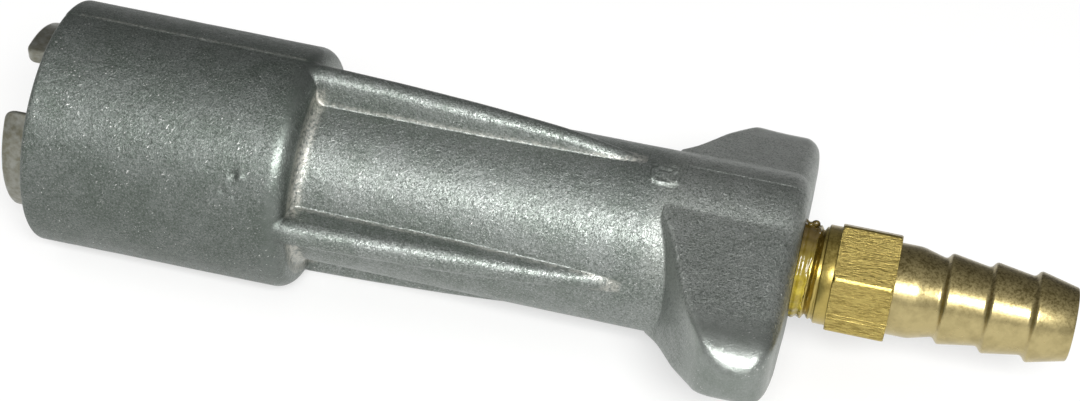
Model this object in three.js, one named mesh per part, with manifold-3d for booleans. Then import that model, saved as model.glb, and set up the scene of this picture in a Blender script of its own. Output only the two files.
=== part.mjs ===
// Fuel nozzle for a push-and-turn dry-break filling point, in millimetres, +Z up.
// The nozzle lies on its side: the axis runs along X, the mouth looks to -X and the hose end to +X,
// and the two wings of the handle reach out along Y. Distances along the axis are counted from the
// mouth's rim towards the hose, as a turner would read them; the group at the end moves the origin
// to mid-length, on the plane that the head touches.
import * as THREE from "three";
import { mergeVertices } from "three/addons/utils/BufferGeometryUtils.js";
import Module from "manifold-3d";

const wasm = await Module();
wasm.setup();

// Shared
const clearance = 0.3; // running and seating gap between neighbouring pieces
const overrun = 2; // how far a cutting body runs past the face that it opens
const finishBreak = 0.5; // small machined edge break
const roundSegments = 48; // sides of the large turned shapes
const middleSegments = 32; // and of the middling ones
const smallSegments = 24; // sides of the small turned shapes

// Body casting
const headFrontRadius = 28.65;
const headRearRadius = 28.35; // the die's draft makes the head slimmer at the back
const headLength = 61.4;
const rimRounding = 1.2;
const shoulderRounding = 4.2;
const neckRadius = 20.65;
const hubRadius = 21.05; // the die's draft widens the neck towards the wings
const neckFillet = 2.2;
const bodyLength = 174.3;
const hubEdgeRounding = 4.5;
const headWall = 3.75; // round the mouth's bore, where the head is slimmest
const mouthFloor = 11.4; // from the bore's step to the shoulder's plane
const mouthChamfer = 0.9;
const neckWall = 4.05;
const threadedWall = 16.3; // of the rear face, which takes the brass fitting

// four fins stiffen the neck, on the wings' plane and square to it
const finCount = 4;
const finLength = 76.0; // from the shoulder's plane to the pointed end
const finHalfWidth = 3.1;
const finCrestInset = 0.15; // below the head's rear edge
// crest height over the neck, as shares of the height at the head, against shares of the length
const finCrestShares = [[0, 1], [0.28, 0.85], [0.55, 0.66], [0.74, 0.5], [0.86, 0.32], [0.95, 0.13], [1, 0]];

// wing handle
const wingDepth = 30.7; // along the axis, up to the rear face
const wingTipReach = 48.6;
const wingTipRadius = 6.4;
const wingEdgeShare = 0.7; // most that the rear edge's rounding takes of the tip's radius
// the front edge in plan: along the axis as shares of the wing's depth, out from the axis as
// shares of the reach
const wingFrontShares = [
  [0, 0], [0, 0.29], [0.1, 0.41], [0.195, 0.555], [0.27, 0.68], [0.35, 0.78], [0.42, 0.865],
  [0.49, 0.93], [0.57, 0.975], [0.66, 0.995], [0.75, 1], [0.83, 0.99], [0.9, 0.965],
  [0.95, 0.92], [0.985, 0.85], [1, 0.78],
];

// three ribs in the mouth's bore key the claw ring, so that the wings turn it
const keyRibInset = 1.9; // how far a rib stands in from the bore's wall
const keyRibWidth = 5.0;

// Claw ring
const clawCount = 3;
const clawReach = 7.0; // past the rim, at rest
const clawWallGap = 2.7; // between a claw's back and the bore
const clawThickness = 4.0;
const clawSpan = 81; // degrees
const clawTurn = -6.5; // degrees from -Y towards +Z to the middle of the first claw
const clawCornerRadius = 2.2;
const carrierStart = 14.0;
const carrierLength = 6.5;
const clawTravel = 7.0;

// snap ring in front of the carrier
const clawSnapRingSection = 1.4; // along the axis
const snapRingGrooveDepth = 1.2; // in the wall behind each snap ring
const snapRingOpening = 14; // degrees

// claw return spring
const clawSpringWire = 2.2;
const clawSpringPitch = 4.9; // the least room for each turn

// Valve housing
const noseStart = 6.0;
const noseRadius = 12.0;
const flangeThickness = 4.0;
const spigotLength = 48.0;
const spigotBoreRadius = 12.0;
const guideSeatInset = 2.3; // the stem guide's step, from the flange's rear
const throatRadius = 7.0;
const throatEnd = 14.0;
const seatLength = 3.2;
const chamberRadius = 9.8;
const noseSealSection = 2.4; // O-ring wire
const noseSealInset = 5.0; // from the nose's front face
const noseBevel = 1.2;
const housingSealSection = 2.4;
const housingSealInset = 9.0; // behind the flange
const sealSqueezeShare = 0.12; // how much of the wire lies in past the groove's mouth

// flange screws
const screwCount = 3;
const screwShankShare = 0.55; // of the head's radius
const screwSocketShare = 0.38; // of the head's radius
const screwLength = 12.0;
const screwSocketDepth = 1.3;

// Poppet
const poppetTravel = 6.0;
const poppetHeadClearance = 0.5; // to the chamber's wall
const poppetHeadSetback = 0.7; // behind the seat
const poppetHubRadius = 5.2; // root of the head's cone, inside the spring
const poppetStudRadius = 3.0;
const poppetStemRadius = 3.0;
const poppetStemChamfer = 0.6;
const poppetHeadLength = 2.5;
const poppetHeadCone = 4.0;
const poppetStemPastGuide = 5.7;
const poppetStudLength = 9.0; // in front of the head
const poppetSealLength = 2.3;
const retainerThickness = 1.5;
const retainerRadius = 5.9;
const tipRadius = 4.8;
const tipLength = 6.3;
const tipBevel = 1.2;

const poppetSpringWire = 1.4;
const poppetSpringMeanRadius = 6.7;
const poppetSpringPitch = 3.9;

// stem guide
const guideThickness = 3.0;
const guideHubRadius = 5.0;
const guideHubLength = 8.0;
const guidePortCount = 6;
const guidePortRadius = 1.9;
const guideSnapRingSection = 1.2;
const guideSnapRingInset = 1.4; // how far it stands in from the bore

// Inlet strainer
const strainerRadius = 11.5;
const strainerWall = 0.9;
const strainerLength = 40.0;
const strainerFlangeThickness = 2.5;
const strainerHoleRows = 4;
const strainerHolesPerRow = 8;
const strainerHoleRadius = 1.9;
const gasketThickness = 3.0;
const strainerSnapRingSection = 1.4;
const strainerSnapRingInset = 2.2;

// Hose barb
const threadRadius = 10.67;
const threadEngagement = 13.3; // inside the body
const threadChamfer = 1.0;
const threadShowing = 5.3; // behind the body
const collarLength = 3.2;
const collarRadius = 11.3;
const hexLength = 13.4;
const hexAcrossFlats = 23.8;
const hexCornerBreak = 0.3; // how much turning takes off the corners
const hexBevelLength = 0.7;
const hexTurn = 32.3; // degrees from -Y towards +Z to one corner
const shankRadius = 10.45;
const shankLength = 5.0;
const shankTaperLength = 5.6; // down to the first barb's root
const barbRootRadius = 8.95;
const barbCrestRadius = 10.4;
const barbStep = 9.92;
const barbCount = 3;
const barbBackLength = 1.1; // the steep side of a barb
const barbEndLength = 9.86; // from the last barb's root to the end
const barbEndRadius = 8.3;
const barbEndRounding = 0.9;
const barbBoreRadius = 6.6;

// thread sealant squeezed out at the joint
const sealantLength = 2.6;
const sealantThickness = 0.6;

// Colours
const finishes = {
  castAluminium: { color: 0x8b8f90, roughness: 0.42, metalness: 1 },
  zincPlate: { color: 0x8d8f7f, roughness: 0.38, metalness: 1 },
  springSteel: { color: 0x8a8c90, roughness: 0.35, metalness: 1 },
  stainless: { color: 0xb4b6b8, roughness: 0.3, metalness: 1 },
  blackSteel: { color: 0x2c2d30, roughness: 0.5, metalness: 1 },
  turnedAluminium: { color: 0xb9bcc0, roughness: 0.28, metalness: 1 },
  brass: { color: 0xb9923f, roughness: 0.3, metalness: 1 },
  rubber: { color: 0x1b1b1c, roughness: 0.85, metalness: 0 },
  acetal: { color: 0xe6e2d6, roughness: 0.55, metalness: 0 },
  sealant: { color: 0x8f6f1f, roughness: 0.4, metalness: 0 },
};

// Geometry helpers
const radians = THREE.MathUtils.degToRad;

// a closed mesh as a manifold solid: shared corners merged, slivers at the poles dropped
function solid(geometry) {
  const bare = geometry.clone();
  bare.deleteAttribute("normal");
  bare.deleteAttribute("uv");
  const merged = mergeVertices(bare, 1e-4);
  const index = merged.getIndex().array;
  const triangles = [];
  for (let i = 0; i < index.length; i += 3) {
    const [a, b, c] = [index[i], index[i + 1], index[i + 2]];
    if (a !== b && b !== c && c !== a) triangles.push(a, b, c);
  }
  return new wasm.Manifold(new wasm.Mesh({
    numProp: 3,
    vertProperties: new Float32Array(merged.getAttribute("position").array),
    triVerts: new Uint32Array(triangles),
  }));
}

function toGeometry(manifold) {
  const mesh = manifold.getMesh();
  const geometry = new THREE.BufferGeometry();
  geometry.setAttribute("position", new THREE.BufferAttribute(new Float32Array(mesh.vertProperties), 3));
  geometry.setIndex(new THREE.BufferAttribute(new Uint32Array(mesh.triVerts), 1));
  geometry.computeVertexNormals();
  return geometry;
}

// a turned shape about X from a closed outline of [x, radius], listed clockwise with x to the right:
// out along the top and back along the bore
function turned(outline, segments = roundSegments) {
  const points = [...outline, outline[0]].map(([x, r]) => new THREE.Vector2(r, x));
  const geometry = new THREE.LatheGeometry(points, segments);
  geometry.rotateZ(-Math.PI / 2); // the lathe's Y becomes X
  geometry.rotateX(Math.PI / 2);
  return outward(geometry);
}

// turns a closed geometry's faces the right way round if its volume comes out negative
function outward(geometry) {
  const flat = geometry.index ? geometry.toNonIndexed() : geometry;
  const p = flat.getAttribute("position");
  const [a, b, c] = [new THREE.Vector3(), new THREE.Vector3(), new THREE.Vector3()];
  let volume = 0;
  for (let i = 0; i < p.count; i += 3) {
    a.fromBufferAttribute(p, i);
    b.fromBufferAttribute(p, i + 1);
    c.fromBufferAttribute(p, i + 2);
    volume += a.dot(b.cross(c));
  }
  if (volume > 0) return flat;
  const array = p.array;
  for (let i = 0; i < array.length; i += 9) {
    for (let k = 0; k < 3; k++) [array[i + 3 + k], array[i + 6 + k]] = [array[i + 6 + k], array[i + 3 + k]];
  }
  return flat;
}

// an outline of [u, v] points extruded along Z from low to high
function extruded(points, low, high) {
  const shape = new THREE.Shape(points.map(([u, v]) => new THREE.Vector2(u, v)));
  const plain = { depth: high - low, bevelEnabled: false, curveSegments: 1 };
  const geometry = new THREE.ExtrudeGeometry(shape, plain);
  geometry.translate(0, 0, low);
  return outward(geometry);
}

// the same, extruded along X: the outline is given as [y, z]
function extrudedAlongX(points, low, high) {
  const geometry = extruded(points, low, high);
  geometry.applyMatrix4(new THREE.Matrix4().set(0, 0, 1, 0, 1, 0, 0, 0, 0, 1, 0, 0, 0, 0, 0, 1));
  return outward(geometry);
}

// rings of points, each of the same count, closed at both ends
function lofted(rings) {
  const count = rings[0].length;
  const positions = [];
  const index = [];
  for (const ring of rings) for (const p of ring) positions.push(...p);
  for (let i = 0; i + 1 < rings.length; i++) {
    for (let k = 0; k < count; k++) {
      const [a, b] = [i * count + k, i * count + ((k + 1) % count)];
      const [c, d] = [a + count, b + count];
      index.push(a, b, d, a, d, c);
    }
  }
  const last = (rings.length - 1) * count;
  for (let k = 1; k + 1 < count; k++) {
    index.push(0, k + 1, k);
    index.push(last, last + k, last + k + 1);
  }
  const geometry = new THREE.BufferGeometry();
  geometry.setAttribute("position", new THREE.Float32BufferAttribute(positions, 3));
  geometry.setIndex(index);
  return outward(geometry);
}

// a point at an angle counted in degrees from -Y towards +Z
function around(x, radius, degrees) {
  return [x, -radius * Math.cos(radians(degrees)), radius * Math.sin(radians(degrees))];
}

// turns a geometry about X by an angle counted from -Y towards +Z
const turnedBy = (geometry, degrees) => geometry.clone().rotateX(-radians(degrees));

// the same geometry carried out to a radius at that angle
function moved(geometry, radius, degrees) {
  return geometry.clone().translate(...around(0, radius, degrees));
}

// a straight round bar or cutter along X
const bar = (radius, low, high, segments = smallSegments) =>
  turned([[low, 0], [low, radius], [high, radius], [high, 0]], segments);

// a round wire wound about the axis, in as many turns as the room takes: one unbroken tube, its
// ends cut square
function wound(name, meanRadius, wire, start, end, pitch, stepsPerTurn) {
  const sides = 5;
  const turns = Math.floor((end - start) / pitch);
  const [low, high] = [start + wire / 2, end - wire / 2];
  const closedTurnShare = 1 / turns; // each end turn lies flat
  const steps = turns * stepsPerTurn;
  const rings = [];
  const centres = [];
  for (let i = 0; i <= steps; i++) {
    const share = i / steps;
    const rise = Math.min(1, Math.max(0, (share - closedTurnShare / 2) / (1 - closedTurnShare)));
    const x = low + (high - low) * rise;
    const angle = 360 * turns * share;
    const ring = [];
    for (let k = 0; k < sides; k++) {
      const a = (2 * Math.PI * k) / sides;
      ring.push(around(x + (wire / 2) * Math.sin(a), meanRadius + (wire / 2) * Math.cos(a), angle));
    }
    rings.push(ring);
    centres.push(new THREE.Vector3(...around(x, meanRadius, angle)));
  }
  let least = Infinity;
  for (let i = 0; i <= steps; i++) {
    for (let j = i + stepsPerTurn / 2; j <= steps; j++) {
      least = Math.min(least, centres[i].distanceTo(centres[j]));
    }
  }
  console.log(`${name}: least gap between turns ${(least - wire).toFixed(2)} mm`);
  return lofted(rings);
}

// an open snap ring: a turned ring less a wedge
function snapRing(innerRadius, outerRadius, low, high, opening) {
  const outline = [[low, innerRadius], [low, outerRadius], [high, outerRadius], [high, innerRadius]];
  const ring = solid(turned(outline, middleSegments));
  const reach = outerRadius + overrun;
  const half = reach * Math.tan(radians(opening / 2));
  const slot = [[0, 0], [-reach, -half], [-reach, half]];
  return toGeometry(ring.subtract(solid(extrudedAlongX(slot, low - overrun, high + overrun))));
}

const ringSeal = (meanRadius, wire, middle) => {
  const points = [];
  const sides = 6;
  for (let k = 0; k < sides; k++) {
    const a = (2 * Math.PI * k) / sides;
    points.push([middle + (wire / 2) * Math.cos(a), meanRadius - (wire / 2) * Math.sin(a)]);
  }
  return turned(points, smallSegments);
};

// The assembly
const nozzle = new THREE.Group();
function piece(name, geometry, finish) {
  const mesh = new THREE.Mesh(geometry, new THREE.MeshStandardMaterial(finishes[finish]));
  mesh.name = name;
  nozzle.add(mesh);
  return mesh;
}

// Radii that several pieces share
const mouthBoreRadius = Math.min(headFrontRadius, headRearRadius) - headWall;
const neckBoreRadius = neckRadius - neckWall;
const carrierRadius = mouthBoreRadius - clearance;
const flangeRadius = mouthBoreRadius - clearance;
const spigotRadius = neckBoreRadius - clearance;
const clawOuterRadius = mouthBoreRadius - clawWallGap;
const clawInnerRadius = clawOuterRadius - clawThickness;
const screwHeadRadius = (flangeRadius - spigotRadius) / 2 - clearance;
const screwShankRadius = screwHeadRadius * screwShankShare;
const screwHeadDepth = screwHeadRadius - screwShankRadius; // a right-angled cone
const screwCircleRadius = (flangeRadius + spigotRadius) / 2;

// Places along the axis that several pieces share
const mouthBoreDepth = headLength - mouthFloor;
const neckBoreEnd = bodyLength - threadedWall;
const wingStart = bodyLength - wingDepth;
const collarStart = bodyLength + threadShowing;
const hexStart = collarStart + collarLength;
const flangeRear = mouthBoreDepth - clearance;
const flangeFront = flangeRear - flangeThickness;
const spigotEnd = flangeRear + spigotLength;
const seatEnd = throatEnd + seatLength;
const carrierEnd = carrierStart + carrierLength;
const guideSeat = flangeRear + guideSeatInset;
const guideFront = guideSeat + clearance;
const guideRear = guideFront + guideThickness;
const gasketEnd = neckBoreEnd - clearance;
const gasketStart = gasketEnd - gasketThickness;
const strainerRear = gasketStart - clearance;
const strainerFlangeFront = strainerRear - strainerFlangeThickness;
const strainerFront = strainerRear - strainerLength;
const strainerRingEnd = strainerFlangeFront - clearance;
const strainerRingStart = strainerRingEnd - strainerSnapRingSection;
const clawRingEnd = carrierStart - clearance;
const clawRingStart = clawRingEnd - clawSnapRingSection;
const threadHoleRadius = threadRadius + clearance;
const hexEnd = hexStart + hexLength;
const clawPitch = 360 / clawCount;
const keyTurn = clawTurn + clawPitch / 2;
const threadStart = bodyLength - threadEngagement;
const shankEnd = hexEnd + shankLength;
const barbsStart = shankEnd + shankTaperLength;
const nozzleEnd = barbsStart + barbStep * (barbCount - 1) + barbEndLength;

// Body casting, assembled
function arc(cx, cr, radius, from, to, steps) {
  const points = [];
  for (let i = 0; i <= steps; i++) {
    const a = radians(from + ((to - from) * i) / steps);
    points.push([cx + radius * Math.cos(a), cr + radius * Math.sin(a)]);
  }
  return points;
}

// the shoulder's edge and the fillet at its foot fit in the shoulder's height
const shoulderHeight = headRearRadius - neckRadius;
const shoulderEdge = Math.min(shoulderRounding, shoulderHeight - neckFillet);
const castOuter = solid(turned([
  [0, 0],
  ...arc(rimRounding, headFrontRadius - rimRounding, rimRounding, 180, 90, 3),
  ...arc(headLength - shoulderEdge, headRearRadius - shoulderEdge, shoulderEdge, 90, 0, 4),
  ...arc(headLength + neckFillet, neckRadius + neckFillet, neckFillet, 180, 270, 3),
  ...arc(bodyLength - hubEdgeRounding, hubRadius - hubEdgeRounding, hubEdgeRounding, 90, 0, 3),
  [bodyLength, 0],
]));

const finCrestAtHead = headRearRadius - finCrestInset;
function fin(degrees) {
  const rings = finCrestShares.slice(0, -1).map(([along, high]) => {
    const x = headLength + finLength * along;
    const crest = neckRadius + (finCrestAtHead - neckRadius) * high;
    const root = neckRadius / 2;
    const half = finHalfWidth;
    const rounding = Math.min(half, crest - root);
    const ring = [[x, -root, -half]];
    for (let i = 0; i <= 4; i++) {
      const a = radians(-90 + 45 * i);
      ring.push([x, -(crest - rounding + rounding * Math.cos(a)), half * Math.sin(a)]);
    }
    ring.push([x, -root, half]);
    return ring;
  });
  const [tipAlong] = finCrestShares[finCrestShares.length - 1];
  const tip = headLength + finLength * tipAlong;
  rings.push(rings[rings.length - 1].map(([, y, z]) => [tip, Math.max(y, -neckRadius + clearance), z]));
  const start = rings[0].map(([, y, z]) => [headLength - shoulderEdge, y, z]);
  return solid(turnedBy(lofted([start, ...rings]), degrees));
}

function wings() {
  // the section: the hub's circle and two tip circles under common tangents, drawn in at the back
  const centre = wingTipReach - wingTipRadius;
  const tangent = (Math.acos((hubRadius - wingTipRadius) / centre) * 180) / Math.PI;
  const section = (x, inset) => {
    const quarter = [
      ...arc(centre, 0, wingTipRadius - inset, 0, tangent, 4),
      ...arc(0, 0, hubRadius - inset, tangent, 90, 2),
    ];
    const half = [...quarter, ...quarter.slice(0, -1).reverse().map(([y, z]) => [-y, z])];
    return [...half, ...half.slice(1, -1).reverse().map(([y, z]) => [y, -z])].map(([y, z]) => [x, y, z]);
  };
  const rounding = Math.min(hubEdgeRounding, wingEdgeShare * wingTipRadius);
  const rounded = arc(0, 0, rounding, 90, 0, 3).map(([along, inward]) => (
    section(bodyLength - rounding + along, rounding - inward)
  ));
  const prism = solid(lofted([section(wingStart, 0), ...rounded]));
  // the plan: a sloped front edge, a rounded tip and a flat back square to the axis
  const depth = bodyLength - wingStart;
  const side = wingFrontShares.map(([along, out]) => [wingStart + depth * along, wingTipReach * out]);
  const plan = [...side, ...side.slice(1).reverse().map(([x, y]) => [x, -y])];
  return prism.intersect(solid(extruded(plan, -hubRadius - overrun, hubRadius + overrun)));
}

const grooveFor = (start, end, radius) => [
  [start, radius], [start, radius + snapRingGrooveDepth], [end, radius + snapRingGrooveDepth], [end, radius],
];
const castBore = solid(turned([
  [-overrun, 0],
  [-overrun, mouthBoreRadius + mouthChamfer + overrun],
  [mouthChamfer, mouthBoreRadius],
  ...grooveFor(clawRingStart - clearance / 2, clawRingEnd + clearance / 2, mouthBoreRadius),
  [mouthBoreDepth, mouthBoreRadius],
  [mouthBoreDepth, neckBoreRadius],
  ...grooveFor(strainerRingStart - clearance / 2, strainerRingEnd + clearance / 2, neckBoreRadius),
  [neckBoreEnd, neckBoreRadius],
  [neckBoreEnd, threadHoleRadius],
  [bodyLength - finishBreak, threadHoleRadius],
  [bodyLength + overrun, threadHoleRadius + finishBreak + overrun],
  [bodyLength + overrun, 0],
]));

// a rib in the bore, and the same a little wider and deeper as the notch that runs along it
function keyRib(gap, low, high, degrees) {
  const inner = mouthBoreRadius - keyRibInset - gap;
  const outer = mouthBoreRadius + keyRibInset;
  const half = keyRibWidth / 2 + gap;
  const section = [[-inner, -half], [-outer, -half], [-outer, half], [-inner, half]];
  return solid(turnedBy(extrudedAlongX(section, low, high), degrees));
}

let casting = castOuter;
for (let i = 0; i < finCount; i++) casting = casting.add(fin((i * 360) / finCount));
casting = casting.add(wings());
let bore = castBore;
for (let i = 0; i < clawCount; i++) {
  const rib = keyRib(0, clawRingEnd + clearance, flangeFront - clearance, keyTurn + clawPitch * i);
  bore = bore.subtract(rib);
}
const screwAngles = Array.from({ length: screwCount }, (_, i) => clawTurn + (360 / screwCount) * i);
const screwHole = bar(screwShankRadius + clearance, flangeFront, flangeFront + screwLength + overrun, 12);
for (const angle of screwAngles) bore = bore.add(solid(moved(screwHole, screwCircleRadius, angle)));
piece("body_casting", toGeometry(casting.subtract(bore)), "castAluminium");

// Claw ring: a carrier that slides in the mouth's bore, with three claws that reach out past the rim
function claw(degrees) {
  const front = -clawReach;
  const rear = (carrierStart + carrierEnd) / 2;
  const half = clawSpan / 2;
  const stations = []; // angle from the claw's middle, and how far the front edge falls back
  for (let i = 0; i <= 3; i++) {
    const a = radians(30 * i);
    const fromSide = (clawCornerRadius * (1 - Math.cos(a))) / clawOuterRadius;
    stations.push([-half + (fromSide * 180) / Math.PI, clawCornerRadius * (1 - Math.sin(a))]);
  }
  const flatHalf = -stations[3][0];
  const middle = [-0.6, -0.2, 0.2, 0.6].map((share) => [flatHalf * share, 0]);
  const all = [...stations, ...middle, ...stations.map(([a, back]) => [-a, back]).reverse()];
  const rings = all.map(([angle, back]) => [
    around(front + back, clawInnerRadius, degrees + angle),
    around(front + back, clawOuterRadius, degrees + angle),
    around(rear, clawOuterRadius, degrees + angle),
    around(rear, clawInnerRadius, degrees + angle),
  ]);
  return solid(lofted(rings));
}
let clawRing = solid(turned([
  [carrierStart, clawInnerRadius], [carrierStart, carrierRadius],
  [carrierEnd, carrierRadius], [carrierEnd, clawInnerRadius],
]));
for (let i = 0; i < clawCount; i++) {
  clawRing = clawRing.add(claw(clawTurn + clawPitch * i));
  const notch = keyRib(clearance, carrierStart - overrun, carrierEnd + overrun, keyTurn + clawPitch * i);
  clawRing = clawRing.subtract(notch);
}
piece("claw_ring", toGeometry(clawRing), "zincPlate");

// it stands clear of the claws' backs and catches the carrier's rim
const clawSnapRingInnerRadius = clawOuterRadius + 2 * clearance;
const ringRadiusIn = (boreRadius) => boreRadius + snapRingGrooveDepth - clearance;
piece("claw_snap_ring", snapRing(clawSnapRingInnerRadius, ringRadiusIn(mouthBoreRadius),
  clawRingStart, clawRingEnd, snapRingOpening), "blackSteel");

const clawSpringMeanRadius = (clawInnerRadius + carrierRadius) / 2;
piece("claw_spring", wound("claw_spring", clawSpringMeanRadius, clawSpringWire, carrierEnd + clearance,
  flangeFront - clearance, clawSpringPitch, 16), "springSteel");

// Valve housing: a nose inside the claws, a flange screwed to the casting, a spigot in the neck
const noseSealRadius = noseRadius - noseSealSection / 2 + noseSealSection * sealSqueezeShare;
const noseSealMiddle = noseStart + noseSealInset + noseSealSection / 2;
const housingSealRadius = spigotRadius - housingSealSection / 2;
const housingSealMiddle = flangeRear + housingSealInset + housingSealSection / 2;
const sealGroove = (middle, wire, meanRadius, surface) => {
  const half = wire / 2 + clearance;
  const floor = meanRadius - wire / 2 - clearance;
  return [[middle - half, surface], [middle - half, floor], [middle + half, floor], [middle + half, surface]];
};
const guideRingStart = guideRear + clearance;
const guideRingEnd = guideRingStart + guideSnapRingSection;
let housing = solid(turned([
  [noseStart, throatRadius],
  [noseStart, noseRadius - noseBevel],
  [noseStart + noseBevel, noseRadius],
  ...sealGroove(noseSealMiddle, noseSealSection, noseSealRadius, noseRadius),
  [flangeFront, noseRadius],
  [flangeFront, flangeRadius],
  [flangeRear, flangeRadius],
  [flangeRear, spigotRadius],
  ...sealGroove(housingSealMiddle, housingSealSection, housingSealRadius, spigotRadius),
  [spigotEnd, spigotRadius],
  [spigotEnd, spigotBoreRadius],
  ...grooveFor(guideRingStart - clearance / 2, guideRingEnd + clearance / 2, spigotBoreRadius).reverse(),
  [guideSeat, spigotBoreRadius],
  [guideSeat, chamberRadius],
  [seatEnd, chamberRadius],
  [throatEnd, throatRadius],
], middleSegments));
const countersink = turned([
  [flangeFront - overrun, 0],
  [flangeFront - overrun, screwHeadRadius + clearance],
  [flangeFront, screwHeadRadius + clearance],
  [flangeFront + screwHeadDepth, screwShankRadius + clearance],
  [flangeRear + overrun, screwShankRadius + clearance],
  [flangeRear + overrun, 0],
], 12);
for (const angle of screwAngles) {
  housing = housing.subtract(solid(moved(countersink, screwCircleRadius, angle)));
}
piece("valve_housing", toGeometry(housing), "turnedAluminium");
piece("housing_o_ring", ringSeal(housingSealRadius, housingSealSection, housingSealMiddle), "rubber");
piece("nose_seal", ringSeal(noseSealRadius, noseSealSection, noseSealMiddle), "rubber");

// Countersunk screws that hold the flange against the step in the mouth's bore
const screwSocketRadius = screwHeadRadius * screwSocketShare;
const screw = turned([
  [flangeFront + screwSocketDepth, 0],
  [flangeFront + screwSocketDepth, screwSocketRadius],
  [flangeFront, screwSocketRadius],
  [flangeFront, screwHeadRadius],
  [flangeFront + screwHeadDepth, screwShankRadius],
  [flangeFront + screwLength, screwShankRadius],
  [flangeFront + screwLength, 0],
], 12);
screwAngles.forEach((angle, i) => {
  piece(`flange_screw_${i + 1}`, toGeometry(solid(moved(screw, screwCircleRadius, angle))), "stainless");
});

// Poppet: head and stem in one, closed towards the mouth by its spring
const headFront = seatEnd + poppetHeadSetback;
const headRear = headFront + poppetHeadLength;
const headRadius = chamberRadius - poppetHeadClearance;
const studFront = headFront - poppetStudLength;
const sealRear = headFront - clearance;
const sealFront = sealRear - poppetSealLength;
const retainerRear = sealFront - clearance;
const retainerFront = retainerRear - retainerThickness;
const tipRear = retainerFront - clearance;
const tipFront = tipRear - tipLength;
const poppetStemEnd = guideFront + guideHubLength + poppetStemPastGuide;
piece("poppet", toGeometry(solid(turned([
  [studFront, 0],
  [studFront, poppetStudRadius],
  [headFront, poppetStudRadius],
  [headFront, headRadius],
  [headRear, headRadius],
  [headRear, poppetHubRadius],
  [headRear + poppetHeadCone, poppetStemRadius],
  [poppetStemEnd - poppetStemChamfer, poppetStemRadius],
  [poppetStemEnd, poppetStemRadius - poppetStemChamfer],
  [poppetStemEnd, 0],
], smallSegments))), "stainless");

// the seal's face lies parallel to the seat's cone
const seatSlope = (chamberRadius - throatRadius) / seatLength;
const sealFaceAt = (x) => throatRadius + seatSlope * (x - throatEnd) - clearance * Math.hypot(1, seatSlope);
const sealShoulder = throatEnd + (headRadius - sealFaceAt(throatEnd)) / seatSlope;
piece("poppet_seal", turned([
  [sealFront, poppetStudRadius + clearance],
  [sealFront, sealFaceAt(sealFront)],
  [sealShoulder, headRadius],
  [sealRear, headRadius],
  [sealRear, poppetStudRadius + clearance],
], smallSegments), "rubber");
piece("seal_retainer", turned([
  [retainerFront, poppetStudRadius + clearance],
  [retainerFront, retainerRadius],
  [retainerRear, retainerRadius],
  [retainerRear, poppetStudRadius + clearance],
], smallSegments), "stainless");
piece("poppet_tip", toGeometry(solid(turned([
  [tipFront, 0],
  [tipFront, tipRadius - tipBevel],
  [tipFront + tipBevel, tipRadius],
  [tipRear, tipRadius],
  [tipRear, poppetStudRadius + clearance],
  [studFront - clearance, poppetStudRadius + clearance],
  [studFront - clearance, 0],
], smallSegments))), "brass");
piece("poppet_spring", wound("poppet_spring", poppetSpringMeanRadius, poppetSpringWire, headRear + clearance,
  guideFront - clearance, poppetSpringPitch, 10), "springSteel");

// Stem guide: a ported disc with a hub, held in the spigot by a snap ring
let guide = solid(turned([
  [guideFront, poppetStemRadius + clearance],
  [guideFront, spigotBoreRadius - clearance],
  [guideRear, spigotBoreRadius - clearance],
  [guideRear, guideHubRadius],
  [guideFront + guideHubLength, guideHubRadius],
  [guideFront + guideHubLength, poppetStemRadius + clearance],
], smallSegments));
const guidePortCircleRadius = (guideHubRadius + spigotBoreRadius - clearance) / 2;
const port = bar(guidePortRadius, guideFront - overrun, guideRear + overrun, 12);
for (let i = 0; i < guidePortCount; i++) {
  guide = guide.subtract(solid(moved(port, guidePortCircleRadius, (i * 360) / guidePortCount)));
}
piece("stem_guide", toGeometry(guide), "acetal");
piece("guide_snap_ring", snapRing(spigotBoreRadius - guideSnapRingInset, ringRadiusIn(spigotBoreRadius),
  guideRingStart, guideRingEnd, snapRingOpening), "blackSteel");

// Inlet strainer: a perforated cup whose flange a snap ring presses on its gasket
let strainer = solid(turned([
  [strainerFront, 0],
  [strainerFront, strainerRadius],
  [strainerFlangeFront, strainerRadius],
  [strainerFlangeFront, neckBoreRadius - clearance],
  [strainerRear, neckBoreRadius - clearance],
  [strainerRear, strainerRadius - strainerWall],
  [strainerFront + strainerWall, strainerRadius - strainerWall],
  [strainerFront + strainerWall, 0],
], smallSegments));
const through = bar(strainerHoleRadius, -strainerRadius - overrun, strainerRadius + overrun, 8);
through.rotateY(Math.PI / 2);
const holePitch = (strainerFlangeFront - strainerFront) / (strainerHoleRows + 1);
for (let row = 1; row <= strainerHoleRows; row++) {
  for (let i = 0; i < strainerHolesPerRow / 2; i++) {
    const stagger = row / 2;
    const drill = turnedBy(through, ((i + stagger) * 360) / strainerHolesPerRow);
    drill.translate(strainerFront + holePitch * row, 0, 0);
    strainer = strainer.subtract(solid(drill));
  }
}
piece("inlet_strainer", toGeometry(strainer), "stainless");
piece("strainer_gasket", turned([
  [gasketStart, threadHoleRadius],
  [gasketStart, neckBoreRadius - clearance],
  [gasketEnd, neckBoreRadius - clearance],
  [gasketEnd, threadHoleRadius],
], middleSegments), "rubber");
piece("strainer_snap_ring", snapRing(neckBoreRadius - strainerSnapRingInset, ringRadiusIn(neckBoreRadius),
  strainerRingStart, strainerRingEnd, snapRingOpening), "blackSteel");

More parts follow.
